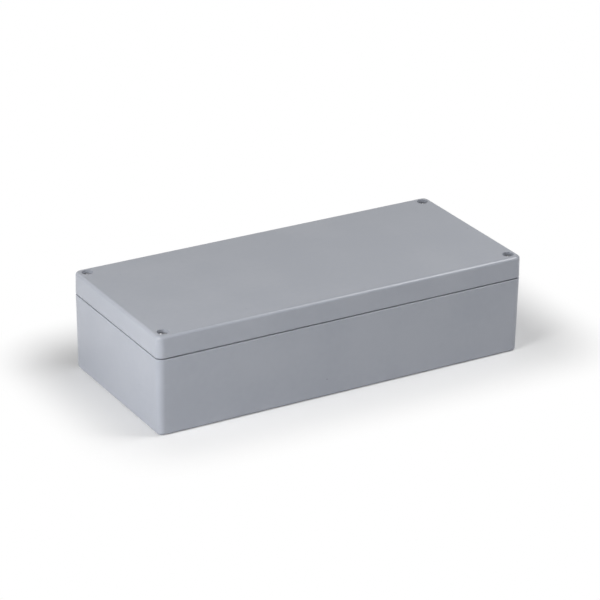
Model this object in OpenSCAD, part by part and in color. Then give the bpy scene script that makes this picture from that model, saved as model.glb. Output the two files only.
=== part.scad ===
// Sealed die-cast aluminium enclosure: a deep drafted base and a shallow lid that meet on a
// tongue-and-groove rim. Four captive screws stand in the corners outside the seal, over
// blocks that also carry the wall-mounting holes. Millimetres, +Z up, origin at the centre
// of the underside, X along the box.

/* [Outside] */
// Overall length, across the parting line
box_length = 360; // [300:1:460]
// Overall width, across the parting line
box_width = 160; // [130:1:240]
// Height of the base, from the underside to its rim
base_h = 70; // [50:0.5:110]
// Height of the lid, from its skirt to its top
lid_h = 20; // [18:0.1:24]
// Shadow gap between the base rim and the lid skirt
seam_gap = 1; // [0.4:0.1:1.4]
// Radius of the upright corners
corner_r = 6.5; // [5.5:0.5:9]
// Draft of every cast wall, in degrees
draft = 0.75; // [0.4:0.05:1.2]
// Rounding round the underside
foot_edge_r = 2.5; // [0.5:0.1:3.5]
// Rounding round the lid's top
top_edge_r = 3; // [0.5:0.1:4]
// Rounding on both sides of the parting line
rim_edge_r = 0.6; // [0.2:0.1:1]

/* [Casting] */
// Thickness of the side walls
wall_t = 4; // [3.8:0.1:5]
// Thickness of the floor
floor_t = 3.5; // [3:0.1:6]
// Thickness of the lid's top
lid_t = 3.5; // [2.5:0.1:5]
// Upright corner radius of the space inside the seal
open_r = 6; // [4:0.5:7]
// Radius of the corner blocks' inner edges
block_r = 6; // [4:0.5:7]
// Fillet between the walls and the floor
floor_fillet_r = 3; // [1:0.5:4]
// Fillet between the walls and the lid's ceiling
ceiling_fillet_r = 2; // [0.5:0.5:2.5]

/* [Seal] */
// Width of the tongue on the base rim
tongue_w = 1.8; // [1.4:0.1:2]
// Height of the tongue above the rim
tongue_h = 2.8; // [2:0.1:3.5]
// Step between the tongue and the edge of the cavity
tongue_step = 0.3; // [0.2:0.1:0.5]
// Play on each side of the tongue in the lid's groove
groove_play = 0.4; // [0.2:0.05:0.5]
// Thickness of the gasket as clamped
gasket_t = 2.4; // [1.5:0.1:3.5]
// Play on each side of the gasket in its groove
gasket_play = 0.1; // [0.05:0.05:0.2]
// Thickness of the rib inboard of the groove
lip_t = 2.1; // [1.5:0.1:3]

/* [Lid screws] */
// Distance of each screw axis from both outer faces
screw_in = 9.5; // [9:0.5:11]
// Diameter of the thread
screw_d = 6; // [5:0.5:6]
// Diameter of the thinned shank that keeps the screw captive
shank_d = 4.8; // [4:0.1:4.8]
// Diameter of the cheese head
head_d = 9.4; // [8.8:0.1:10]
// Height of the cheese head
head_h = 3.9; // [3:0.1:4.5]
// Length under the head
screw_l = 25; // [20:0.5:32]
// Length of the threaded end
thread_l = 12; // [8:0.5:14]
// Depth of the recess from the lid's top to its seat
recess_depth = 7.5; // [6:0.1:9]
// Play round the head and its keeper in the recess
recess_play = 0.3; // [0.2:0.05:0.5]
// Play round the thread in the lid
screw_play = 0.3; // [0.2:0.05:0.5]
// Play round the thread in the base
thread_play = 0.05; // [0.03:0.01:0.1]
// Space left under the screw tip
tip_space = 3; // [1:0.5:6]
// Thickness of the keeper ring under the head
keeper_t = 1; // [0.6:0.1:1.5]
// Play of the keeper ring in the recess
keeper_fit = 0.1; // [0.05:0.05:0.2]
// Play round the thinned shank in the keeper
keeper_play = 0.2; // [0.1:0.05:0.3]
// Width over the wings of the cross drive
drive_d = 6.2; // [5:0.1:6.6]
// Depth of the cross drive
drive_depth = 2.3; // [1.5:0.1:2.6]
// Radius of the pads on which the lid bears on the base
pad_r = 6.2; // [5.5:0.1:6.5]

/* [Wall mounting] */
// Distance of each mounting hole from the short sides
mount_in_x = 10; // [9.5:0.5:12]
// Distance of each mounting hole from the long sides
mount_in_y = 25; // [24:0.5:30]
// Diameter of the mounting holes
mount_d = 6.8; // [5:0.1:7.5]
// Diameter of the wells over the mounting holes
well_d = 13; // [12:0.5:14]
// Thickness of the base under the wells
well_floor_t = 8; // [5:0.5:14]
// Thickness of the block walls beside the wells
well_wall_t = 3; // [2.6:0.1:5]
// Diameter of the pocket in the lid over each well
pocket_d = 12; // [8:0.5:12]
// Depth of the pocket in the lid
pocket_depth = 10; // [6:0.5:12]

/* [Plate bosses] */
// Spacing of the plate bosses along the box
boss_gap_x = 300; // [200:1:304]
// Spacing of the plate bosses across the box
boss_gap_y = 130; // [90:1:130]
// Diameter of a plate boss at its top
boss_d = 9; // [8:0.5:12]
// Height of a plate boss over the floor
boss_h = 6; // [4:0.5:12]
// Core diameter of the threads in the plate bosses
boss_hole_d = 3.3; // [2.5:0.1:4.2]
// Depth of the threads in the plate bosses
boss_hole_depth = 7; // [4:0.5:7]
// Fillet round the foot of each boss
boss_fillet_r = 1.5; // [0.5:0.5:2]

/* [Earth terminal] */
// Distance of the earth boss from the left outer face
earth_in = 14; // [13:0.5:60]
// Diameter of the earth boss at its top
earth_boss_d = 12; // [11:0.5:14]
// Height of the earth boss over the floor
earth_boss_h = 8; // [6:0.5:16]
// Diameter of the earth screw's thread
earth_d = 5; // [4:0.5:5]
// Length of the earth screw under its head
earth_l = 10; // [8:0.5:10.5]
// Diameter of the earth screw's pan head
earth_head_d = 9.5; // [8.5:0.1:10.5]
// Height of the earth screw's pan head
earth_head_h = 3.4; // [2.5:0.1:4.5]
// Width over the wings of the earth screw's cross drive
earth_drive_d = 5.6; // [4:0.1:6.4]
// Depth of the earth screw's cross drive
earth_drive_depth = 2; // [1.2:0.1:2.2]
// Space left under the earth screw's tip
earth_tip_space = 0.5; // [0.2:0.1:1]
// Outer diameter of the flat washer
washer_d = 10; // [9.5:0.1:11]
// Thickness of the flat washer
washer_t = 1; // [0.6:0.1:1.6]
// Outer diameter of the split spring washer
spring_d = 9.2; // [8.5:0.1:9.6]
// Thickness of the split spring washer
spring_t = 1.2; // [0.8:0.1:1.6]
// Play round the earth screw in its washers
washer_play = 0.15; // [0.1:0.05:0.3]
// Width of the cut in the spring washer
spring_cut = 1; // [0.5:0.1:2]

/* [Hidden] */
$fn = 96;

coat_grey = "#a5aab0";
steel_grey = "#c6c8ca";
zinc_grey = "#b9b5a6";
gasket_black = "#2a2b2d";
nylon_white = "#e6e3d8";

over = 1; // how far cutters and joined pieces run past a face
drive_turns = [12, 55, 78, 34]; // how each screw's drive stands, front pair first, in degrees
wing_share = 0.21; // width of a drive's wing over the width across its wings
taper_share = 0.45; // width of a drive at its floor over its width at the top
cut_slope = 20; // lean of the cut through the spring washer, in degrees
rise = tan(draft); // how far a drafted wall moves in for each millimetre of height

skirt_z = base_h + seam_gap;
top_z = skirt_z + lid_h;
groove_top_z = base_h + tongue_h + gasket_t;
ceiling_z = top_z - lid_t;
seat_z = top_z - recess_depth;
head_z = seat_z + keeper_t;
tip_z = head_z - screw_l;
recess_r = head_d / 2 + recess_play;
well_r = well_d / 2;

screw_x = box_length / 2 - screw_in;
screw_y = box_width / 2 - screw_in;
mount_x = box_length / 2 - mount_in_x;
mount_y = box_width / 2 - mount_in_y;
earth_x = earth_in - box_length / 2;
earth_top_z = floor_t + earth_boss_h;
earth_head_z = earth_top_z + washer_t + spring_t;

// The space inside the seal is a cross: the box less one block in each corner.
open_x = box_length / 2 - wall_t;
open_y = box_width / 2 - wall_t;
neck_x = mount_x - well_r - well_wall_t;
neck_y = mount_y - well_r - well_wall_t;

// Groove and gasket, measured outward from the edge of the cavity
groove_in = tongue_step - groove_play;
groove_w = tongue_w + 2 * groove_play;

// Outlines run anticlockwise, and each point is [x, y, corner radius].
OUTSIDE = [
  for (s = [[1, -1], [1, 1], [-1, 1], [-1, -1]])
    [s.x * box_length / 2, s.y * box_width / 2, corner_r]
];
INSIDE = [
  [neck_x, -open_y, open_r], [neck_x, -neck_y, block_r], [open_x, -neck_y, open_r],
  [open_x, neck_y, open_r], [neck_x, neck_y, block_r], [neck_x, open_y, open_r],
  [-neck_x, open_y, open_r], [-neck_x, neck_y, block_r], [-open_x, neck_y, open_r],
  [-open_x, -neck_y, open_r], [-neck_x, -neck_y, block_r], [-neck_x, -open_y, open_r]
];

function xy(p) = [p.x, p.y];
function heading(a, b) = xy(b - a) / norm(xy(b - a));
function outward(d) = [d.y, -d.x];
function angle_of(v) = atan2(v.y, v.x);
function before(line, i) = line[(i + len(line) - 1) % len(line)];
function after(line, i) = line[(i + 1) % len(line)];

// Carries a profile round an outline: straight runs, and quarter turns at the corners. The
// profile's x is the distance outward from the outline and its y is the height. A second
// child, if there is one, goes round the corners that turn inward.
module carry(line) {
  for (i = [0 : len(line) - 1]) {
    p = line[i];
    q = after(line, i);
    d_in = heading(before(line, i), p);
    d_out = heading(p, q);
    run = norm(xy(q - p)) - p.z - q.z;
    centre = xy(p) + p.z * (d_out - d_in);
    translate([q.x - d_out.x * q.z, q.y - d_out.y * q.z, 0])
      rotate([90, 0, angle_of(outward(d_out))])
        linear_extrude(run) children(0);
    if (cross(d_in, d_out) > 0)
      translate([centre.x, centre.y, 0])
        rotate([0, 0, angle_of(outward(d_in))])
          rotate_extrude(angle = 90) translate([p.z, 0]) children(0);
    else
      translate([centre.x, centre.y, 0])
        rotate([0, 0, angle_of(-outward(d_out))])
          rotate_extrude(angle = 90) translate([p.z, 0]) mirror([1, 0]) children([0 : $children - 1]);
  }
}

// Half of a cast section, from its middle line at x = 0 out to a leaning side, with the
// lower and upper outer corners rounded.
module side_profile(z_lo, z_hi, reach_lo, reach_hi, r_lo, r_hi) {
  lean = atan2(reach_hi - reach_lo, z_hi - z_lo);
  up = [sin(lean), cos(lean)];
  cut_lo = r_lo * tan((90 - lean) / 2);
  cut_hi = r_hi * tan((90 + lean) / 2);
  mid_lo = [reach_lo - cut_lo, z_lo + r_lo];
  mid_hi = [reach_hi - cut_hi, z_hi - r_hi];
  flat_lo = [mid_lo.x, z_lo];
  flat_hi = [mid_hi.x, z_hi];
  side_lo = [reach_lo, z_lo] + cut_lo * up;
  side_hi = [reach_hi, z_hi] - cut_hi * up;
  polygon([[0, z_lo], flat_lo, mid_lo, side_lo, side_hi, mid_hi, flat_hi, [0, z_hi]]);
  if (r_lo > 0) sector(mid_lo, r_lo, flat_lo, side_lo);
  if (r_hi > 0) sector(mid_hi, r_hi, side_hi, flat_hi);
}

// The slice of a disc between two points of its edge, for a rounded corner
module sector(mid, r, a, b) {
  intersection() {
    translate(mid) circle(r);
    polygon([mid, 2 * a - mid, 2 * b - mid]);
  }
}

// A solid cast body: the outline's middle, and a leaning side carried round it. The inset is
// how far in the side's own profile reaches, which is the radius of the outward corners.
module cast_body(line, inset, z_lo, z_hi, grow_lo, grow_hi, r_lo, r_hi) {
  translate([0, 0, z_lo])
    linear_extrude(z_hi - z_lo)
      polygon([
        for (i = [0 : len(line) - 1])
          let (d_in = heading(before(line, i), line[i]), d_out = heading(line[i], after(line, i)))
          xy(line[i]) - inset * (outward(d_in) + outward(d_out))
      ]);
  carry(line) {
    translate([-inset, 0])
      side_profile(z_lo, z_hi, inset + grow_lo, inset + grow_hi, r_lo, r_hi);
    translate([-2 * inset, z_lo]) square([inset + over, z_hi - z_lo]);
  }
}

module at_corners(x, y) {
  for (sx = [-1, 1], sy = [-1, 1])
    translate([sx * x, sy * y, 0]) children();
}

// A turned boss on the floor, with its foot blended into it
module floor_boss(r, h) {
  blend = 0.05;
  translate([0, 0, floor_t])
    rotate_extrude() {
      polygon([[0, -over], [r + h * rise, -over], [r + h * rise, 0], [r, h], [0, h]]);
      difference() {
        translate([0, -blend]) square([r + boss_fillet_r, boss_fillet_r]);
        translate([r + boss_fillet_r, boss_fillet_r - blend]) circle(boss_fillet_r);
      }
    }
}

// A cross recess for a screwdriver, cut down from a head's top
module cross_recess(d, depth) {
  flare = d * (1 - taper_share) / depth;
  intersection() {
    translate([0, 0, -depth])
      cylinder(d1 = d * taper_share, d2 = d + flare * over, h = depth + over);
    for (a = [0, 90])
      rotate([0, 0, a])
        cube([d + 2 * over, d * wing_share, 2 * depth + over], center = true);
  }
}

module base_casting() {
  drop = rise * (base_h - floor_t);
  color(coat_grey)
    difference() {
      union() {
        difference() {
          cast_body(OUTSIDE, corner_r, 0, base_h, -rise * base_h, 0, foot_edge_r, rim_edge_r);
          cast_body(INSIDE, open_r, floor_t, base_h + over, -drop, rise * over, floor_fillet_r, 0);
        }
        carry(INSIDE)
          translate([tongue_step, base_h])
            polygon([
              [0, -over], [tongue_w, -over], [tongue_w, tongue_h - tongue_step],
              [tongue_w - tongue_step, tongue_h], [tongue_step, tongue_h],
              [0, tongue_h - tongue_step]
            ]);
        at_corners(boss_gap_x / 2, boss_gap_y / 2) floor_boss(boss_d / 2, boss_h);
        translate([earth_x, 0, 0]) floor_boss(earth_boss_d / 2, earth_boss_h);
      }
      at_corners(mount_x, mount_y) {
        translate([0, 0, -over]) cylinder(d = mount_d, h = well_floor_t + 2 * over);
        translate([0, 0, well_floor_t])
          cylinder(
            r1 = well_r - rise * (base_h - well_floor_t), r2 = well_r + rise * over,
            h = base_h - well_floor_t + over
          );
      }
      at_corners(screw_x, screw_y)
        translate([0, 0, tip_z - tip_space])
          cylinder(r = screw_d / 2, h = base_h - tip_z + tip_space + over);
      at_corners(boss_gap_x / 2, boss_gap_y / 2)
        translate([0, 0, floor_t + boss_h - boss_hole_depth])
          cylinder(d = boss_hole_d, h = boss_hole_depth + over);
      translate([earth_x, 0, earth_head_z - earth_l - earth_tip_space])
        cylinder(d = earth_d, h = earth_l + over);
    }
}

module lid_casting() {
  mouth = groove_in - lip_t;
  color(coat_grey)
    difference() {
      union() {
        cast_body(OUTSIDE, corner_r, skirt_z, top_z, 0, -rise * lid_h, rim_edge_r, top_edge_r);
        at_corners(screw_x, screw_y)
          translate([0, 0, base_h]) cylinder(r = pad_r, h = seam_gap + over);
      }
      cast_body(
        INSIDE, open_r, skirt_z - over, ceiling_z,
        mouth + rise * over, mouth - rise * (ceiling_z - skirt_z), 0, ceiling_fillet_r
      );
      carry(INSIDE)
        translate([groove_in, skirt_z - over])
          square([groove_w, groove_top_z - skirt_z + over]);
      at_corners(mount_x, mount_y)
        translate([0, 0, skirt_z - over]) cylinder(d = pocket_d, h = pocket_depth + over);
      at_corners(screw_x, screw_y) {
        translate([0, 0, base_h - over]) cylinder(r = screw_d / 2 + screw_play, h = lid_h);
        translate([0, 0, seat_z]) cylinder(r = recess_r, h = recess_depth + over);
      }
    }
}

module lid_gasket() {
  color(gasket_black)
    carry(INSIDE)
      translate([groove_in + gasket_play, base_h + tongue_h])
        square([groove_w - 2 * gasket_play, gasket_t]);
}

// A captive cheese-head screw, at its closed height
module lid_screw(sx, sy, turn) {
  thread_r = screw_d / 2 - thread_play;
  shank_r = shank_d / 2;
  lead = 0.8;
  head_edge = 0.4;
  color(steel_grey)
    translate([sx * screw_x, sy * screw_y, head_z])
      rotate([0, 0, turn])
        difference() {
          rotate_extrude()
            polygon([
              [0, -screw_l], [thread_r - lead, -screw_l], [thread_r, lead - screw_l],
              [thread_r, thread_l - screw_l], [shank_r, thread_l - screw_l + thread_r - shank_r],
              [shank_r, 0], [head_d / 2, 0], [head_d / 2, head_h - head_edge],
              [head_d / 2 - head_edge, head_h], [0, head_h]
            ]);
          translate([0, 0, head_h]) cross_recess(drive_d, drive_depth);
        }
}

// The ring that is pressed into a recess and stops the thread from coming out
module screw_keeper(sx, sy) {
  color(nylon_white)
    translate([sx * screw_x, sy * screw_y, seat_z])
      rotate_extrude()
        translate([shank_d / 2 + keeper_play, 0])
          square([recess_r - keeper_fit - shank_d / 2 - keeper_play, keeper_t]);
}

module earth_screw() {
  thread_r = earth_d / 2 - thread_play;
  lead = 0.6;
  join = 0.5;
  crown_r = 8.5;
  color(zinc_grey)
    translate([earth_x, 0, earth_head_z])
      difference() {
        union() {
          rotate_extrude()
            polygon([
              [0, -earth_l], [thread_r - lead, -earth_l], [thread_r, lead - earth_l],
              [thread_r, join], [0, join]
            ]);
          intersection() {
            cylinder(d = earth_head_d, h = earth_head_h);
            translate([0, 0, earth_head_h - crown_r]) sphere(crown_r);
          }
        }
        translate([0, 0, earth_head_h]) cross_recess(earth_drive_d, earth_drive_depth);
      }
}

module earth_spring_washer() {
  color(zinc_grey)
    translate([earth_x, 0, earth_top_z + washer_t])
      difference() {
        cylinder(d = spring_d, h = spring_t);
        translate([0, 0, -over]) cylinder(r = earth_d / 2 + washer_play, h = spring_t + 2 * over);
        translate([spring_d / 2, 0, spring_t / 2])
          rotate([cut_slope, 0, 0]) cube([spring_d, spring_cut, 3 * spring_t], center = true);
      }
}

module earth_washer() {
  color(zinc_grey)
    translate([earth_x, 0, earth_top_z])
      difference() {
        cylinder(d = washer_d, h = washer_t);
        translate([0, 0, -over]) cylinder(r = earth_d / 2 + washer_play, h = washer_t + 2 * over);
      }
}

base_casting();
lid_casting();
lid_gasket();
lid_screw(-1, -1, drive_turns[0]);  // lid_screw_front_left
lid_screw(1, -1, drive_turns[1]);  // lid_screw_front_right
lid_screw(-1, 1, drive_turns[2]);  // lid_screw_back_left
lid_screw(1, 1, drive_turns[3]);  // lid_screw_back_right
screw_keeper(-1, -1);  // screw_keeper_front_left
screw_keeper(1, -1);  // screw_keeper_front_right
screw_keeper(-1, 1);  // screw_keeper_back_left
screw_keeper(1, 1);  // screw_keeper_back_right
earth_screw();
earth_spring_washer();
earth_washer();
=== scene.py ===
# %% [markdown]
# # A sealed die-cast box
# The object is a long aluminium box with a silver-grey powder coat: a deep base, a shallow
# lid, four sunk screws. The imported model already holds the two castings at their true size,
# so it is loaded first and nothing in it is moved. Everything else in this lesson either
# gives those castings their finish or stands in for a small part with a finer surface.

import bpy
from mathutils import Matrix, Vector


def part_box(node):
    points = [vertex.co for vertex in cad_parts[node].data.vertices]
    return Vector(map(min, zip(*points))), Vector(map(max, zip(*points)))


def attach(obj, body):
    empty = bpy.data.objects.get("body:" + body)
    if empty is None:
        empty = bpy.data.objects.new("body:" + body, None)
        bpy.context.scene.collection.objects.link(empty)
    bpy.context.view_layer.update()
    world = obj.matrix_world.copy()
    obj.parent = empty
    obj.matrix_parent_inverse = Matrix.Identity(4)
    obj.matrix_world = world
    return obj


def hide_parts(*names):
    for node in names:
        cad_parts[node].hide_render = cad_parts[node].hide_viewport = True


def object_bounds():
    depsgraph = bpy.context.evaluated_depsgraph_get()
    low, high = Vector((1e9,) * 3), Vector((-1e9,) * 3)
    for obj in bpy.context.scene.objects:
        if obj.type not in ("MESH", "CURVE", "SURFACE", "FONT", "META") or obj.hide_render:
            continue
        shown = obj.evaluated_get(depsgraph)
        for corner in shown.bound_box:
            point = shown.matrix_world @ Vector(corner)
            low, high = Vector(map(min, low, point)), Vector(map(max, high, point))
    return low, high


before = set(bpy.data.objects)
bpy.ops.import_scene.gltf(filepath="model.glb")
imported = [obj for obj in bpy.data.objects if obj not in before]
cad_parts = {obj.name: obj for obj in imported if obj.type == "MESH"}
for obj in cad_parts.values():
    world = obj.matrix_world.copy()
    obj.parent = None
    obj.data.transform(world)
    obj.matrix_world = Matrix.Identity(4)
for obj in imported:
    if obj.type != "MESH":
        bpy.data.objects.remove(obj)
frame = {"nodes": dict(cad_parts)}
cad_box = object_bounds()
print("nodes:", ", ".join(frame["nodes"]))

# %% [markdown]
# Lengths in Blender are metres, but a maker thinks of a box in millimetres. One factor turns
# the one into the other.

# %% Units and the places of the main parts
import math

import bpy
import numpy as np
from mathutils import Matrix, Vector

MM = 0.001
LENGTH, WIDTH, HEIGHT = (high - low for low, high in zip(*cad_box))
RIM_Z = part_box("lid_casting")[0].z
CORNERS = ("front_left", "front_right", "back_left", "back_right")


def middle(node):
    """The centre of a node's box, halfway between its two corners."""
    low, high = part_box(node)
    return (low + high) / 2


screw_axis = middle("lid_screw_back_right")
print(f"box {LENGTH / MM:.1f} x {WIDTH / MM:.1f} x {HEIGHT / MM:.1f} mm")
print(f"lid from {RIM_Z / MM:.1f} mm up")
print(f"screw axes {screw_axis.x / MM:.1f} mm and {screw_axis.y / MM:.1f} mm from the middle")

# %% [markdown]
# ## The camera
# The box is seen from its front left, from about 24 degrees above level, through a long lens,
# which keeps its long edges nearly parallel. Such a camera is easiest to place backwards: choose
# the point it looks at, turn it by yaw, pitch and roll, and step back along its own axis.

# %% Place the camera
AIM = Vector((0.0248, 0.0412, 0.0346))
DISTANCE = 2.5366
YAW, PITCH, ROLL = (math.radians(a) for a in (-30.20, 23.91, 0.63))
LENS_MM = 170.3
SENSOR_MM = 36
VIEW_END = 50

turn = Matrix.Rotation(YAW, 3, "Z") @ Matrix.Rotation(math.pi / 2 - PITCH, 3, "X")
turn = turn @ Matrix.Rotation(ROLL, 3, "Z")
camera = bpy.data.objects.new("camera", bpy.data.cameras.new("camera"))
camera.data.lens = LENS_MM
camera.data.sensor_width = SENSOR_MM
camera.data.clip_end = VIEW_END
camera.matrix_world = Matrix.Translation(AIM + turn @ Vector((0, 0, DISTANCE))) @ turn.to_4x4()
bpy.context.collection.objects.link(camera)
bpy.context.scene.camera = camera
print("camera at", [round(v, 3) for v in camera.matrix_world.translation])

# %% [markdown]
# ## Writing shader maths
# A procedural finish is a small calculation for each point of a surface. In the node editor
# every plus and times is a node of its own, which is slow to lay by hand. The class below
# wraps one output socket, and its operators add those Math nodes, so that `1 - mask * 0.5`
# reads as it would on paper. Every other kind of node comes from `Finish.node`.

# %% A class for values and one for finishes
def operation(name, swapped=False):
    """A method that adds a Math node of this kind for two values, in either order."""

    def method(self, other):
        pair = (other, self) if swapped else (self, other)
        return self.finish.maths(name, *pair)

    return method


class Value:
    """One output socket of a node, with operators that add Math nodes."""

    def __init__(self, finish, socket):
        self.finish = finish
        self.socket = socket

    __add__ = __radd__ = operation("ADD")
    __mul__ = __rmul__ = operation("MULTIPLY")
    __sub__ = operation("SUBTRACT")
    __rsub__ = operation("SUBTRACT", swapped=True)
    __truediv__ = operation("DIVIDE")


class Finish:
    """A material under construction, with its Principled shader ready for links."""

    def __init__(self, name, **uniform):
        self.material = bpy.data.materials.new(name)
        self.material.use_nodes = True
        self.tree = self.material.node_tree
        self.shader = self.tree.nodes["Principled BSDF"]
        self.set(**uniform)

    def feed(self, node, inputs):
        """Sets or links inputs, each named by its label or its number."""
        for key, value in inputs.items():
            if isinstance(value, Value):
                self.tree.links.new(value.socket, node.inputs[key])
            else:
                node.inputs[key].default_value = value

    def node(self, kind, settings=None, inputs=None, output=0):
        """Adds a node, sets it up, feeds it, and gives one of its outputs."""
        made = self.tree.nodes.new("ShaderNode" + kind)
        for key, value in (settings or {}).items():
            setattr(made, key, value)
        self.feed(made, inputs or {})
        return Value(self, made.outputs[output])

    def maths(self, name, *values):
        """Adds a Math node for one value or more."""
        return self.node("Math", {"operation": name}, dict(enumerate(values)))

    def step(self, value, start, end):
        """Rises smoothly from 0 at start to 1 at end, or falls if end is the lower."""
        settings = {"interpolation_type": "SMOOTHSTEP"}
        limits = {0: value, 1: min(start, end), 2: max(start, end)}
        rising = self.node("MapRange", settings, limits)
        return rising if start < end else 1 - rising

    def blend(self, share, first, second):
        """A colour: the first where share is 0, the second where it is 1."""
        settings = {"data_type": "RGBA"}
        return self.node("Mix", settings, {0: share, 6: first, 7: second}, output=2)

    def place(self):
        """The point as a vector, and its x, y and z in metres: its true place in the box."""
        point = self.node("TexCoord", output=3)
        split = self.node("SeparateXYZ", inputs={0: point})
        rest = [Value(self, socket) for socket in split.socket.node.outputs]
        return point, *rest

    def noise(self, point, size, detail=2.0):
        """Soft random values round 0.5, with patches about `size` metres across."""
        return self.node("TexNoise", inputs={"Vector": point, "Scale": 1 / size, "Detail": detail})

    def relief(self, height, depth, normal=None):
        """A bump whose height of 1 stands `depth` metres proud."""
        inputs = {"Height": height, "Distance": depth, "Strength": 1.0}
        if normal is not None:
            inputs["Normal"] = normal
        return self.node("Bump", inputs=inputs)

    def set(self, **inputs):
        """Sets or links the shader's inputs, written with _ for the spaces in their names."""
        self.feed(self.shader, {key.replace("_", " "): inputs[key] for key in inputs})


print("finish helpers ready")


# %% [markdown]
# ## The powder coat
# Powder coat is a baked polyester skin, some 80 micrometres thick. It is satin and never quite
# flat: it keeps a faint orange peel, about a millimetre from crest to crest, over a much finer
# grain. Its tone drifts a little where the film is thicker. All of this is painted
# from the true place of each point, so base and lid match across the seam.

# %% The skin of the castings
COAT_TONE = (0.326, 0.345, 0.391, 1)
COAT_THIN = (0.347, 0.365, 0.409, 1)
DRIFT_SIZE, MOTTLE_SIZE = 60 * MM, 6 * MM
PEEL_SIZE, GRAIN_SIZE = 1.1 * MM, 0.25 * MM
MOTTLE_SHARE, GRAIN_SHARE = 0.3, 0.25
TONE_LOW, TONE_HIGH = 0.35, 0.65
COAT_ROUGHNESS, ROUGHNESS_SPREAD = 0.26, 0.06
PEEL_DEPTH = 0.012 * MM


def coat_skin(coat, point):
    """The coat's colour, roughness and height, from noise at four sizes."""
    drift = coat.noise(point, DRIFT_SIZE, 1.0)
    mottle = coat.noise(point, MOTTLE_SIZE, 3.0)
    peel = coat.noise(point, PEEL_SIZE, 1.0)
    grain = coat.noise(point, GRAIN_SIZE)
    film = drift * (1 - MOTTLE_SHARE) + mottle * MOTTLE_SHARE
    colour = coat.blend(coat.step(film, TONE_LOW, TONE_HIGH), COAT_TONE, COAT_THIN)
    return colour, COAT_ROUGHNESS + mottle * ROUGHNESS_SPREAD, peel + grain * GRAIN_SHARE


# %% [markdown]
# ## What was cut after coating
# Threads are tapped and screw holes drilled once the coat is on, so bare aluminium shows there,
# and the earth boss is faced to give the terminal clean metal. The lid screws' holes and the
# bosses' holes come in mirrored fours, so a point's place is folded into one corner, and one
# distance serves all four. The earth hole stands alone, so its place isn't folded. Each mark is
# held between its hole's two ends, or it would show on every face above and below them. The
# thread is a bump that climbs one pitch a turn, and the fold would turn its hand over in two
# corners, so the angle takes the sign of x times y.

# %% Bare metal and threads
BARE_TONE = (0.60, 0.61, 0.62, 1)
SCREW_HOLE_R, BOSS_HOLE_R, EARTH_HOLE_R = 3.4 * MM, 1.8 * MM, 2.6 * MM
SCREW_PITCH, BOSS_PITCH, EARTH_PITCH = 1.0 * MM, 0.7 * MM, 0.8 * MM
BOSS_X, BOSS_Y = 150 * MM, 65 * MM
EARTH_FACE_R, EARTH_FACE_Z = 6.1 * MM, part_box("earth_washer")[0].z
SCREW_HOLE_Z = (56.3 * MM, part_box("screw_keeper_front_left")[0].z)
BOSS_HOLE_Z = (2.3 * MM, 9.6 * MM)
EARTH_HOLE_Z = (3.0 * MM, EARTH_FACE_Z)
THREAD_DEPTH = 0.35 * MM
RIM_SOFT, END_SOFT = 0.1 * MM, 0.2 * MM
LEVEL_NEAR, LEVEL_FAR = 0.1 * MM, 0.3 * MM


def from_axis(coat, x, y, axis_x, axis_y, mirrored):
    """The place measured from an upright axis, as (along, across, distance).

    With mirrored, it is measured from the nearest of the axis and its three mirror images.
    """
    if mirrored:
        x, y = coat.maths("ABSOLUTE", x), coat.maths("ABSOLUTE", y)
    along, across = x - axis_x, y - axis_y
    return along, across, coat.maths("SQRT", along * along + across * across)


def tapped(coat, x, y, z, axis, radius, pitch, low, top):
    """A blind hole's bare mask, from its low end to its top, and its thread's form from 0 to 1.

    The form is the distance of height / pitch - angle / turn from a whole number.
    """
    mirrored = axis[1] > 0
    along, across, distance = from_axis(coat, x, y, *axis, mirrored)
    hand = coat.maths("SIGN", x * y) if mirrored else 1.0
    angle = coat.maths("ARCTAN2", across, along) * hand
    climb = z * (1 / pitch) - angle * (0.5 / math.pi)
    form = coat.maths("PINGPONG", climb, 0.5) * 2
    bare = coat.step(distance, radius + RIM_SOFT, radius - RIM_SOFT)
    bare = bare * coat.step(z, top + END_SOFT, top) * coat.step(z, low - END_SOFT, low)
    return bare, form * bare


def at_level(coat, z, level):
    """1 near a height, fading to 0 above and below it."""
    return coat.step(coat.maths("ABSOLUTE", z - level), LEVEL_FAR, LEVEL_NEAR)


# %% [markdown]
# ## Marks of the mould and of use
# The pins that push a casting out of its mould leave faint rings on the floor and under the
# lid. They lie on a regular pattern, which `PINGPONG` folds to one pin. One small dark chip
# sits low on the long front.

# %% The coated castings
PIN_STEP, PIN_Y, PIN_R = 80 * MM, 45 * MM, 4 * MM
PIN_NEAR, PIN_FAR = 110 * MM, 120 * MM
PIN_DEPTH = 0.06 * MM
PLATE = 3.5 * MM
CHIP_PLACE, CHIP_R = (-17.7 * MM, -79.4 * MM, 16.4 * MM), 0.8 * MM
CHIP_TONE = (0.12, 0.12, 0.13, 1)
CHIP_CORE, CHIP_SHARE = 0.4, 0.6


def pin_rings(coat, x, y, z):
    """The height of the ejector pins' rings: 1 inside a ring's edge, on level faces only."""
    along = coat.maths("PINGPONG", x, PIN_STEP / 2)
    across = coat.maths("ABSOLUTE", y) - PIN_Y
    distance = coat.maths("SQRT", along * along + across * across)
    level = at_level(coat, z, PLATE) + at_level(coat, z, HEIGHT - PLATE)
    reach = coat.step(coat.maths("ABSOLUTE", x), PIN_FAR, PIN_NEAR)
    return coat.step(distance, PIN_R + RIM_SOFT, PIN_R - RIM_SOFT) * level * reach


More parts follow.
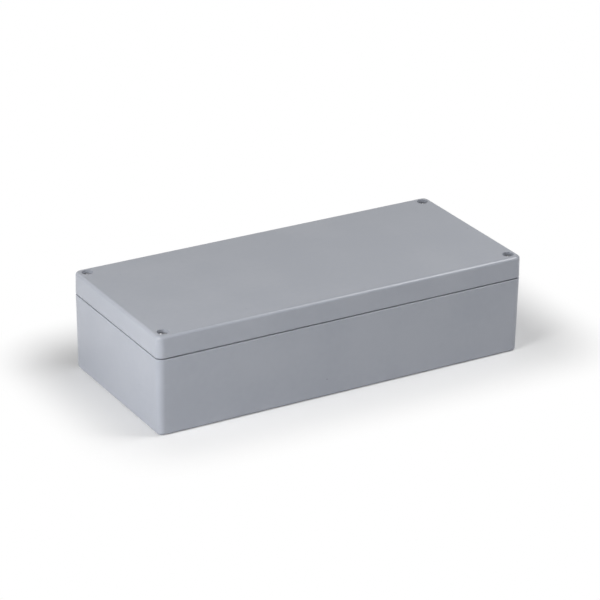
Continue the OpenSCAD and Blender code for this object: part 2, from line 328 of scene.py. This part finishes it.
def powder_coat():
    coat = Finish("powder_coat", IOR=1.5)
    point, *place = coat.place()
    x, y, z = place
    colour, roughness, height = coat_skin(coat, point)
    earth_axis = middle("earth_washer")
    holes = [
        tapped(coat, *place, screw_axis.xy, SCREW_HOLE_R, SCREW_PITCH, *SCREW_HOLE_Z),
        tapped(coat, *place, (BOSS_X, BOSS_Y), BOSS_HOLE_R, BOSS_PITCH, *BOSS_HOLE_Z),
        tapped(coat, *place, (earth_axis.x, 0.0), EARTH_HOLE_R, EARTH_PITCH, *EARTH_HOLE_Z),
    ]
    to_earth = from_axis(coat, x, y, earth_axis.x, 0.0, mirrored=False)[2]
    faced = coat.step(to_earth, EARTH_FACE_R, EARTH_FACE_R - END_SOFT)
    faced = faced * at_level(coat, z, EARTH_FACE_Z)
    bare, thread = faced, 0.0
    for hole, form in holes:
        bare = coat.maths("MAXIMUM", bare, hole)
        thread = form + thread
    from_chip = coat.node("VectorMath", {"operation": "DISTANCE"}, {0: point, 1: CHIP_PLACE}, 1)
    chip = coat.step(from_chip, CHIP_R, CHIP_R * CHIP_CORE) * CHIP_SHARE
    peel = coat.relief(height * (1 - bare), PEEL_DEPTH)
    marks = coat.relief(pin_rings(coat, x, y, z), -PIN_DEPTH, peel)
    coat.set(
        Base_Color=coat.blend(bare, coat.blend(chip, colour, CHIP_TONE), BARE_TONE),
        Roughness=roughness,
        Metallic=bare,
        Normal=coat.relief(thread, THREAD_DEPTH, marks),
    )
    return coat.material


coating = powder_coat()
for node in ("base_casting", "lid_casting"):
    frame["nodes"][node].data.materials[0] = coating
print("castings coated with", coating.name)

# %% [markdown]
# ## Surfaces from grids of points
# The screws, washers, rings and the gasket are turned or extruded parts. Each one is a sheet
# of points in rows and columns, worked out as whole arrays: the rows follow the part's length
# or its path, and the columns go once round it. One function turns any such sheet into a
# closed mesh, and finds from the enclosed volume which way its faces must point.

# %% A mesh over a grid of points
SHARP_ANGLE = math.radians(38)


def skin(name, points, body, material, stands_for, ring=False):
    """A closed mesh over points (row, column, xyz) in millimetres, riding on a body.

    Columns always wrap round. Rows wrap too with ring, and otherwise each end row is closed by
    a fan to its own middle. The volume is the sum of a . (b x c) / 6 over all triangles, and
    a negative one turns every face over.
    """
    rows, columns = points.shape[:2]
    number = np.arange(rows * columns).reshape(rows, columns)
    beside = np.roll(number, -1, axis=1)
    sheet = np.stack([number, beside, np.roll(beside, -1, axis=0), np.roll(number, -1, axis=0)], -1)
    quads = sheet[: rows if ring else rows - 1].reshape(-1, 4)
    vertices = points.reshape(-1, 3)
    fans = np.empty((0, 3), int)
    if not ring:
        vertices = np.vstack([vertices, points[0].mean(0), points[-1].mean(0)])
        first, last = np.full(columns, rows * columns), np.full(columns, rows * columns + 1)
        fans = np.vstack([
            np.column_stack([first, beside[0], number[0]]),
            np.column_stack([last, number[-1], beside[-1]]),
        ])
    triangles = np.vstack([quads[:, [0, 1, 2]], quads[:, [0, 2, 3]], fans])
    a, b, c = (vertices[triangles[:, k]] for k in range(3))
    if (a * np.cross(b, c)).sum() < 0:
        quads, fans = quads[:, ::-1], fans[:, ::-1]
    mesh = bpy.data.meshes.new(name)
    mesh.from_pydata((vertices * MM).tolist(), [], quads.tolist() + fans.tolist())
    mesh.shade_smooth()
    mesh.set_sharp_from_angle(angle=SHARP_ANGLE)
    mesh.materials.append(material)
    piece = bpy.data.objects.new(name, mesh)
    bpy.context.collection.objects.link(piece)
    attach(piece, body)
    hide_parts(stands_for)
    print(f"{name}: {len(triangles):,} triangles")


# %% [markdown]
# ## Small metal parts
# The lid screws are turned from stainless steel, and the lathe leaves fine rings round their
# axis. The earth terminal is plain steel under zinc, which is a little warmer and cloudier.
# The keeper rings are nylon and the gasket is black rubber. The lathe's rings need each point's
# distance from its own screw, so the place is folded into one corner first.

# %% Finishes of the small parts
STEEL_TONE, STEEL_DULL = (0.42, 0.42, 0.43, 1), (0.30, 0.30, 0.31, 1)
ZINC_TONE, ZINC_CLOUD = (0.50, 0.49, 0.46, 1), (0.36, 0.36, 0.36, 1)
RUBBER_TONE, RUBBER_DULL = (0.024, 0.024, 0.026, 1), (0.034, 0.034, 0.036, 1)
NYLON_TONE, NYLON_DULL = (0.78, 0.76, 0.69, 1), (0.72, 0.70, 0.63, 1)
LATHE_PITCH = 0.12 * MM
METAL_DEPTH, MOULDED_DEPTH = 0.004 * MM, 0.01 * MM


def turned_steel():
    """Stainless steel with the lathe's rings: 1D noise over the distance from the screw's axis."""
    steel = Finish("turned_steel", Metallic=1.0)
    point, x, y, _ = steel.place()
    radius = from_axis(steel, x, y, screw_axis.x, screw_axis.y, mirrored=True)[2]
    lathe = {"W": radius / LATHE_PITCH, "Detail": 1.0}
    rings = steel.node("TexNoise", {"noise_dimensions": "1D"}, lathe)
    cloud = steel.noise(point, 1.5 * MM, 3.0)
    steel.set(
        Base_Color=steel.blend(steel.step(cloud, 0.4, 0.65), STEEL_TONE, STEEL_DULL),
        Roughness=0.30 + rings * 0.12,
        Normal=steel.relief(rings, METAL_DEPTH),
    )
    return steel.material


def zinc_plate():
    """Steel under zinc: a cloudy tone over a very fine grain."""
    zinc = Finish("zinc_plate", Metallic=1.0)
    point = zinc.place()[0]
    cloud = zinc.noise(point, 1.2 * MM, 4.0)
    zinc.set(
        Base_Color=zinc.blend(zinc.step(cloud, 0.35, 0.7), ZINC_TONE, ZINC_CLOUD),
        Roughness=0.32 + cloud * 0.2,
        Normal=zinc.relief(zinc.noise(point, 0.2 * MM), METAL_DEPTH),
    )
    return zinc.material


def soft_part(name, tone, dull, roughness, grain):
    """A moulded part: its tone varies a little, and its skin has a fine grain."""
    part = Finish(name)
    point = part.place()[0]
    patches = part.noise(point, 4 * MM, 3.0)
    part.set(
        Base_Color=part.blend(part.step(patches, 0.35, 0.65), tone, dull),
        Roughness=roughness + patches * 0.1,
        Normal=part.relief(part.noise(point, grain, 3.0), MOULDED_DEPTH),
    )
    return part.material


steel = turned_steel()
zinc = zinc_plate()
rubber = soft_part("black_rubber", RUBBER_TONE, RUBBER_DULL, roughness=0.62, grain=0.3 * MM)
nylon = soft_part("nylon", NYLON_TONE, NYLON_DULL, roughness=0.38, grain=0.5 * MM)
print("finishes:", steel.name, zinc.name, rubber.name, nylon.name)

# %% [markdown]
# ## The screws
# A screw is a turned part, so every row of its grid is a circle, and two things break the
# circle. The cross drive sinks the rows on top of the head. The thread lifts the rows near
# the tip: its crest climbs one pitch in each turn, anticlockwise from above, which makes it
# right-handed.

# %% The drive and the thread
COLUMNS = 192
WING_SHARE = 0.21
DRIVE_TAPER = 0.45
SOFT_EDGE = 0.16
CREST_SHARE, ROOT_SHARE = 0.125, 0.75
around = np.linspace(0, 2 * np.pi, COLUMNS, endpoint=False)


def ease(share):
    """Rises from 0 to 1 with a level start and end: 3 t^2 - 2 t^3, held outside 0 to 1."""
    held = np.clip(share, 0, 1)
    return held * held * (3 - 2 * held)


def cross_drive(radius, width, depth):
    """How deep the drive is at each radius (rows) and angle (columns) of a head's top.

    A point lies in a wing where its lesser distance from the two wing axes is under half the
    wing's width, with a soft edge. Its floor is level in the middle, and slopes up in a
    straight line to nothing at half the drive's width from the axis.
    """
    off_axis = radius * np.minimum(abs(np.cos(around)), abs(np.sin(around)))
    in_wing = ease((width * WING_SHARE / 2 - off_axis) / SOFT_EDGE + 0.5)
    reach = width / 2
    slope = np.clip((reach - radius) / (reach - reach * DRIVE_TAPER), 0, 1)
    return depth * in_wing * slope


def thread_form(height, pitch):
    """How high the thread stands at each height (rows) and angle (columns), from 0 to 1.

    The crest passes where height / pitch - angle / turn is a whole number. The distance from
    it in half pitches gives a level crest, a straight flank and a level root.
    """
    phase = (height / pitch - around / (2 * np.pi)) % 1
    off_crest = 1 - abs(2 * phase - 1)
    return np.clip((ROOT_SHARE - off_crest) / (ROOT_SHARE - CREST_SHARE), 0, 1)


# %% One function for both kinds of screw
TOP_ROWS, EDGE_ROWS, NECK_ROWS, TURN_ROWS = 40, 7, 6, 12
MIDDLE_R = 0.12
UNDER_BEVEL = 0.15
NECK_FILLET = 0.2
TIP_START, TIP_NARROW, TIP_R_SHARE = 0.2, 0.2, 0.74


def screw_grid(head_r, head_h, crown, edge_r, neck_r, thread_r, pitch, thread_l, length, drive):
    """Points of a screw whose head stands on z = 0, in rows from its top to its tip.

    Top: z is head_h less the crown's fall, r^2 / (2 crown), less the drive. Side: the edge is a
    quarter circle. Thread: the radius is the root's plus the thread's form, which fades in
    over one pitch and tapers off at the tip.
    """
    top = np.linspace(MIDDLE_R, head_r - edge_r, TOP_ROWS)[:, None]
    sunk = cross_drive(top, *drive)
    fall = top**2 / (2 * crown)
    quarter = np.linspace(0, np.pi / 2, EDGE_ROWS)[1:, None]
    rim_z = head_h - fall[-1] - edge_r
    neck = np.linspace(-NECK_FILLET, thread_l - length, NECK_ROWS)[:, None]
    spiral = np.arange(thread_l - length, -length, -pitch / TURN_ROWS)[:, None]
    fade = ease((thread_l - length - spiral) / pitch) * ease((spiral + length) / pitch + TIP_START)
    lift = (thread_r - neck_r) * fade * thread_form(spiral, pitch)
    lead = np.clip((spiral + length) / pitch, 0.0, 1.0)
    bands = [
        (top, head_h - fall - sunk),
        (head_r - edge_r + edge_r * np.sin(quarter), rim_z + edge_r * np.cos(quarter)),
        (np.array([[head_r], [head_r - UNDER_BEVEL]]), np.array([[UNDER_BEVEL], [0.0]])),
        (np.array([[neck_r + NECK_FILLET]]), np.array([[0.0]])),
        (np.full_like(neck, neck_r), neck),
        ((neck_r + lift) * (1 - TIP_NARROW + TIP_NARROW * lead), spiral),
        (np.array([[neck_r * TIP_R_SHARE]]), np.array([[-length]])),
    ]
    wide = np.ones(COLUMNS)
    radius = np.vstack([r * wide for r, z in bands])
    height = np.vstack([z * wide for r, z in bands])
    return np.stack([radius * np.cos(around), radius * np.sin(around), height], axis=-1)


def placed(points, node, floor_z, turn=0.0):
    """The points turned about z by an angle in degrees, then moved to a node's axis."""
    a = math.radians(turn)
    centre = middle(node)
    x = points[..., 0] * math.cos(a) - points[..., 1] * math.sin(a) + centre.x / MM
    y = points[..., 0] * math.sin(a) + points[..., 1] * math.cos(a) + centre.y / MM
    return np.stack([x, y, points[..., 2] + floor_z], axis=-1)


# %% The four lid screws
DRIVE_TURNS = {"front_left": 12, "front_right": 55, "back_left": 78, "back_right": 34}
HEAD_R = (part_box("lid_screw_front_left")[1].x - middle("lid_screw_front_left").x) / MM
TIP_Z, HEAD_TOP_Z = (corner.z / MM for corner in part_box("lid_screw_front_left"))
SCREW_LENGTH = 25.0
HEAD_Z = TIP_Z + SCREW_LENGTH
lid_screw = screw_grid(
    head_r=HEAD_R, head_h=HEAD_TOP_Z - HEAD_Z, crown=60.0, edge_r=0.4, neck_r=2.4,
    thread_r=2.95, pitch=1.0, thread_l=12.0, length=SCREW_LENGTH, drive=(6.2, 2.3),
)
for corner, turn_by in DRIVE_TURNS.items():
    node = "lid_screw_" + corner
    where = placed(lid_screw, node, HEAD_Z, turn_by)
    skin("screw_surface_" + corner, where, "screw_" + corner, steel, node)

# %% The earth screw
EARTH_LENGTH = 10.0
EARTH_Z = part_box("earth_screw")[0].z / MM + EARTH_LENGTH
earth_head_r = (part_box("earth_screw")[1].x - middle("earth_screw").x) / MM
earth = screw_grid(
    head_r=earth_head_r, head_h=3.4, crown=8.5, edge_r=0.5, neck_r=2.0,
    thread_r=2.45, pitch=0.8, thread_l=9.2, length=EARTH_LENGTH, drive=(5.6, 2.0),
)
where = placed(earth, "earth_screw", EARTH_Z, 20)
skin("earth_screw_surface", where, "base", zinc, "earth_screw")

# %% [markdown]
# ## Rings and washers
# A ring is a small section carried round a circle, so its rows wrap as well as its columns.
# The sections have rounded corners, since a stamped washer and a moulded ring both do. The
# spring washer is cut through on a slant and stays open there, so its rows don't wrap.

# %% Rounded sections carried round a circle
RING_ROWS = 120


def rounded_section(low, high, radius, steps=6):
    """A rectangle whose corners are quarter circles: corner centre + radius (cos a, sin a)."""
    step = np.arange(4 * steps)
    quarter = step // steps
    angle = (quarter + step % steps / (steps - 1)) * np.pi / 2
    middle_x = np.where(np.isin(quarter, (0, 3)), high[0] - radius, low[0] + radius)
    middle_z = np.where(quarter < 2, high[1] - radius, low[1] + radius)
    return middle_x + radius * np.cos(angle), middle_z + radius * np.sin(angle)


def ring_grid(inner_r, outer_r, height, edge_r, gap=0.0, slant=0.0):
    """A ring from z = 0 up: (r cos a, r sin a, z), with the section's r and z as columns.

    With a gap, the angle stops short of a full turn by gap / outer_r at each end, and moves on
    with the height by tan(slant) / r, so that the cut leans.
    """
    r, z = rounded_section((inner_r, 0), (outer_r, height), edge_r)
    ends = gap / (inner_r + outer_r)
    a = np.linspace(ends, 2 * np.pi - ends, RING_ROWS, endpoint=gap > 0)[:, None]
    a = a + (z - height / 2) * math.tan(math.radians(slant)) / r
    return np.stack([r * np.cos(a), r * np.sin(a), z + 0 * a], axis=-1)


# %% The screw keepers
KEEPER_BORE_R, KEEPER_EDGE_R = 2.6, 0.2
keeper_low, keeper_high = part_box("screw_keeper_front_left")
keeper_r = (keeper_high.x - keeper_low.x) / 2 / MM
keeper = ring_grid(KEEPER_BORE_R, keeper_r, (keeper_high.z - keeper_low.z) / MM, KEEPER_EDGE_R)
for corner in CORNERS:
    node = "screw_keeper_" + corner
    where = placed(keeper, node, keeper_low.z / MM)
    skin("keeper_surface_" + corner, where, "lid", nylon, node, ring=True)

# %% The earth washers
WASHER_BORE_R = 2.65
# node: edge radius and gap in millimetres, and slant in degrees
WASHERS = {
    "earth_washer": (0.15, 0.0, 0.0),
    "earth_spring_washer": (0.1, 1.0, 20.0),
}
for node, (edge_r, gap, slant) in WASHERS.items():
    low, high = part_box(node)
    outer_r = (high.y - low.y) / 2 / MM
    washer = ring_grid(WASHER_BORE_R, outer_r, (high.z - low.z) / MM, edge_r, gap, slant)
    where = placed(washer, "earth_washer", low.z / MM)
    skin(node + "_surface", where, "base", zinc, node, ring=gap == 0)

# %% [markdown]
# ## The gasket
# The seal runs round the space inside, between the equipment and the corner blocks, so that
# no screw hole passes through it. Its path is a cross with twelve quarter-circle corners, of
# which four turn inward. The cord is a squared-off oval, and its underside keeps the dent
# that the base's tongue presses into it.

# %% The path of the seal
WALL = 4.0
BLOCK_LENGTH, BLOCK_WIDTH = 19.5, 34.5
PATH_R = 6.0
CORNER_STEPS = 13


def seal_path():
    """Points and outward directions once round the cavity's edge, anticlockwise.

    Each corner is centre + r (s cos t + d sin t) for t from 0 to a quarter turn, where d is the
    heading into the corner and s points from the centre to the corner's start. Outward is that
    same direction, or its opposite where the path turns inward.
    """
    wide_x, wide_y = LENGTH / 2 / MM - WALL, WIDTH / 2 / MM - WALL
    neck_x, neck_y = LENGTH / 2 / MM - BLOCK_LENGTH, WIDTH / 2 / MM - BLOCK_WIDTH
    quarter = np.array([(neck_x, wide_y), (neck_x, neck_y), (wide_x, neck_y)])
    flip_x, flip_y = np.array([-1, 1]), np.array([1, -1])
    corners = np.vstack([
        quarter * flip_y, quarter[::-1], quarter * flip_x, quarter[::-1] * flip_x * flip_y
    ])
    into = corners - np.roll(corners, 1, axis=0)
    into /= np.linalg.norm(into, axis=1, keepdims=True)
    leave = np.roll(into, -1, axis=0)
    bend = np.sign(into[:, 0] * leave[:, 1] - into[:, 1] * leave[:, 0])[:, None]
    start = bend * np.column_stack([into[:, 1], -into[:, 0]])
    centre = corners + PATH_R * (leave - into)
    t = np.linspace(0, np.pi / 2, CORNER_STEPS)[None, :, None]
    heading = start[:, None] * np.cos(t) + into[:, None] * np.sin(t)
    points = centre[:, None] + PATH_R * heading
    return points.reshape(-1, 2), (heading * bend[:, None]).reshape(-1, 2)


path, outward = seal_path()
print(f"seal path: {len(path)} points, {np.abs(path).max():.1f} mm at its farthest")

# %% Carry the gasket's section along the path
SQUARENESS = 6.0
DENT = 0.2
SECTION_COLUMNS = 48


def squared(wave, size):
    """A cosine or sine with squared-off crests: sign(w) |w|^(2 / squareness) size / 2."""
    return np.sign(wave) * abs(wave) ** (2 / SQUARENESS) * size / 2


low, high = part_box("lid_gasket")
gasket_w = (high.x / MM) - (LENGTH / 2 / MM - WALL)
gasket_h = (high.z - low.z) / MM
t = np.linspace(0, 2 * np.pi, SECTION_COLUMNS, endpoint=False)
across = squared(np.cos(t), gasket_w)
rise = squared(np.sin(t), gasket_h)
rise = rise + (rise < 0) * DENT * np.exp(-((across / (gasket_w / 4)) ** 2))
# place = path + outward * (across + half the width), z = rise + the gasket's mid height
flat = path[:, None] + outward[:, None] * (across + gasket_w / 2)[None, :, None]
level = np.broadcast_to(rise + middle("lid_gasket").z / MM, flat.shape[:2])
where = np.concatenate([flat, level[..., None]], axis=-1)
skin("gasket_surface", where, "lid", rubber, "lid_gasket", ring=True)

# %% [markdown]
# ## The studio
# The box stands on white paper. Two keys, one above the other, stand a little in front of its
# left end: they light that end and catch the upright corner. One high on the right lights the
# top, and a small one below it draws the light line on the lid's front edge. A large weak one
# behind on the left opens up the back. Paper that is lit just enough for the box would look
# grey, so its own white, a painted glow for camera, mirror and see-through rays alone, takes
# over with the distance from the box. Close to the box it stays plain paper and keeps the true
# shadow, but the glow paints how far that shadow reaches and how it fades to white, from a
# middle set a little to the right of and behind the box's own.

# %% Paper that keeps the shadow
FLOOR_SIZE = 12.0
PAPER_TONE = (0.84, 0.84, 0.84, 1)
# The painted fade of the floor's shadow: its middle, and the distances where it starts and ends.
SHADOW_CENTRE = (14 * MM, 8 * MM)
SHADOW_NEAR, SHADOW_FAR = 8 * MM, 92 * MM


def seen_directly(finish):
    """1 for camera, mirror and see-through rays, and 0 for the light that bounces."""
    outputs = finish.node("LightPath").socket.node.outputs
    kinds = ("Is Camera Ray", "Is Glossy Ray", "Is Transmission Ray")
    camera_ray, glossy_ray, clear_ray = (Value(finish, outputs[kind]) for kind in kinds)
    return finish.maths("MAXIMUM", finish.maths("MAXIMUM", camera_ray, glossy_ray), clear_ray)


def studio_paper():
    """Plain paper near the box, whose painted white glow takes over with the distance from the box
    and so paints where its shadow fades.
    """
    paper = Finish("studio_paper", Base_Color=PAPER_TONE, Roughness=0.9, Specular_IOR_Level=0.2)
    x, y = paper.place()[1:3]
    sides = []
    for along, centre, size in zip((x, y), SHADOW_CENTRE, (LENGTH, WIDTH)):
        past = paper.maths("ABSOLUTE", along - centre) - size / 2
        sides.append(paper.maths("MAXIMUM", past, 0.0))
    distance = paper.maths("SQRT", sides[0] * sides[0] + sides[1] * sides[1])
    # The painted fade: 0 near the box, where the real shadow shows, rising to 1, white, past
    # SHADOW_FAR.
    share = paper.step(distance, SHADOW_NEAR, SHADOW_FAR) * seen_directly(paper)
    white = paper.node("Emission", inputs={"Color": (1, 1, 1, 1), "Strength": 1.0})
    plain = Value(paper, paper.shader.outputs["BSDF"])
    mixed = paper.node("MixShader", inputs={0: share, 1: plain, 2: white})
    paper.tree.links.new(mixed.socket, paper.tree.nodes["Material Output"].inputs["Surface"])
    return paper.material


reach = FLOOR_SIZE / 2
ends = [(-reach, -reach, 0), (reach, -reach, 0), (reach, reach, 0), (-reach, reach, 0)]
sheet = bpy.data.meshes.new("floor")
sheet.from_pydata(ends, [], [(0, 1, 2, 3)])
sheet.materials.append(studio_paper())
floor = bpy.data.objects.new("floor", sheet)
bpy.context.collection.objects.link(floor)
print("paper laid")

# %% Lamps and world
# name: azimuth (0 is in front, 90 on the right), elevation, distance, size, watts
LAMPS = {
    "key_left": (-68, 18, 1.0, 0.5, 4.5),
    "key_high": (-74, 32, 1.0, 0.5, 3.8),
    "high_right": (68, 55, 1.4, 0.6, 7.4),
    "edge_light": (48, 44, 1.0, 0.25, 1.8),
    "back_left": (-155, 30, 1.8, 1.0, 2.4),
}
FILL = 0.035


def softbox(name, azimuth, elevation, distance, size, watts):
    """A square white lamp aimed at the box from this direction and distance."""
    a, e = math.radians(azimuth), math.radians(elevation)
    away = Vector((math.sin(a) * math.cos(e), -math.cos(a) * math.cos(e), math.sin(e)))
    lamp = bpy.data.lights.new(name, "AREA")
    lamp.size = size
    lamp.energy = watts
    holder = bpy.data.objects.new(name, lamp)
    holder.location = away * distance
    holder.rotation_euler = away.to_track_quat("Z", "Y").to_euler()
    bpy.context.collection.objects.link(holder)


def white_world(fill):
    """White to camera and mirror rays, and a plain fill for the light that bounces."""
    world = bpy.data.worlds.new("studio")
    world.use_nodes = True
    nodes, links = world.node_tree.nodes, world.node_tree.links
    rays = nodes.new("ShaderNodeLightPath")
    seen = nodes.new("ShaderNodeMath")
    seen.operation = "MAXIMUM"
    pick = nodes.new("ShaderNodeMix")
    pick.inputs["A"].default_value = fill
    pick.inputs["B"].default_value = 1.0
    links.new(rays.outputs["Is Camera Ray"], seen.inputs[0])
    links.new(rays.outputs["Is Glossy Ray"], seen.inputs[1])
    links.new(seen.outputs["Value"], pick.inputs["Factor"])
    links.new(pick.outputs["Result"], nodes["Background"].inputs["Strength"])
    nodes["Background"].inputs["Color"].default_value = (1, 1, 1, 1)
    bpy.context.scene.world = world


for name, lamp in LAMPS.items():
    softbox(name, *lamp)
white_world(FILL)
bpy.context.scene.view_settings.view_transform = "Standard"
print("lamps:", ", ".join(LAMPS))
